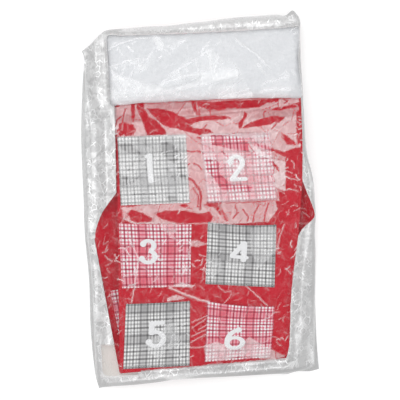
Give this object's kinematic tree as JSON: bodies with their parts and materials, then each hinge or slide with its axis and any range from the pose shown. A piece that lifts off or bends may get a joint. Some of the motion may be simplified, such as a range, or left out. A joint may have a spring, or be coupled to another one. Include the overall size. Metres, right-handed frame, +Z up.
{
  "type": "felt stocking advent calendar",
  "caption": "Felt stocking advent calendar with numbered checked pockets and a plush cuff, folded flat in a clear film bag.",
  "frame": {"origin": "middle of the bag's outline, on the surface it lies on", "axes": "+X across the stocking to the right, +Y along the leg towards the cuff, +Z up out of the pockets"},
  "size_m": [0.2799, 0.4432, 0.0323],
  "materials": {
    "upper_leg_front": "felt",
    "upper_leg_back": "felt",
    "lower_leg_front": "felt",
    "lower_leg_back": "felt",
    "foot_front": "felt",
    "foot_back": "felt",
    "toe_front": "felt",
    "toe_back": "felt",
    "cuff": "white plush",
    "hanging_loop": "woven ribbon",
    "bag_front_film": "clear gloss film",
    "bag_back_film": "clear gloss film",
    "pocket_01": "printed check cloth, white raised number",
    "pocket_02": "printed check cloth, white raised number",
    "pocket_03": "printed check cloth, white raised number",
    "pocket_04": "printed check cloth, white raised number",
    "pocket_05": "printed check cloth, white raised number",
    "pocket_06": "printed check cloth, white raised number",
    "pocket_07": "printed check cloth, white raised number",
    "pocket_08": "printed check cloth, white raised number",
    "pocket_09": "printed check cloth, white raised number",
    "pocket_10": "printed check cloth, white raised number",
    "pocket_11": "printed check cloth, white raised number",
    "pocket_12": "printed check cloth, white raised number",
    "pocket_13": "printed check cloth, white raised number",
    "pocket_14": "printed check cloth, white raised number",
    "pocket_15": "printed check cloth, white raised number",
    "pocket_16": "printed check cloth, white raised number",
    "pocket_17": "printed check cloth, white raised number",
    "pocket_18": "printed check cloth, white raised number",
    "pocket_19": "printed check cloth, white raised number",
    "pocket_20": "printed check cloth, white raised number",
    "pocket_21": "printed check cloth, white raised number",
    "pocket_22": "printed check cloth, white raised number",
    "pocket_23": "printed check cloth, white raised number",
    "pocket_24": "printed check cloth, white raised number"
  },
  "bodies": {
    "upper": {"upper_leg_front": "upper_leg_front", "upper_leg_back": "upper_leg_back", "cuff": "cuff", "pocket_01": "pocket_01", "pocket_02": "pocket_02", "pocket_03": "pocket_03", "pocket_04": "pocket_04", "pocket_05": "pocket_05", "pocket_06": "pocket_06"},
    "lower": {"lower_leg_front": "lower_leg_front", "lower_leg_back": "lower_leg_back", "pocket_07": "pocket_07", "pocket_08": "pocket_08", "pocket_09": "pocket_09", "pocket_10": "pocket_10", "pocket_11": "pocket_11", "pocket_12": "pocket_12", "pocket_13": "pocket_13", "pocket_14": "pocket_14"},
    "foot": {"foot_front": "foot_front", "foot_back": "foot_back", "pocket_15": "pocket_15", "pocket_16": "pocket_16", "pocket_17": "pocket_17", "pocket_18": "pocket_18", "pocket_19": "pocket_19", "pocket_20": "pocket_20", "pocket_23": "pocket_23", "pocket_24": "pocket_24"},
    "toe": {"toe_front": "toe_front", "toe_back": "toe_back", "pocket_21": "pocket_21", "pocket_22": "pocket_22"},
    "loop": {"hanging_loop": "hanging_loop"},
    "bag": {"bag_front_film": "bag_front_film", "bag_back_film": "bag_back_film"}
  },
  "joints": [
    {"name": "bottom_fold", "type": "hinge", "parent": "upper", "child": "lower", "pos_m": [-0.006, -0.199, 0.0154], "axis": [-0.9994, -0.0349, 0], "range_deg": [0, 180]},
    {"name": "top_fold", "type": "hinge", "parent": "lower", "child": "foot", "pos_m": [0, 0.19896, 0.009], "axis": [1, 0, 0], "range_deg": [0, 180]},
    {"name": "toe_fold", "type": "hinge", "parent": "foot", "child": "toe", "pos_m": [-0.10531, -0.20288, 0.0046], "axis": [-0.1392, 0.9903, 0], "range_deg": [0, 180]},
    {"name": "loop_fold", "type": "hinge", "parent": "upper", "child": "loop", "pos_m": [0.1127, 0.2025, 0.01325], "axis": [1, 0, 0], "range_deg": [0, 180]},
    {"name": "bag_slide", "type": "slide", "parent": "upper", "child": "bag", "axis": [0, 1, 0], "range_m": [0, 0.48], "deforming": ["bag_front_film", "bag_back_film"]}
  ]
}
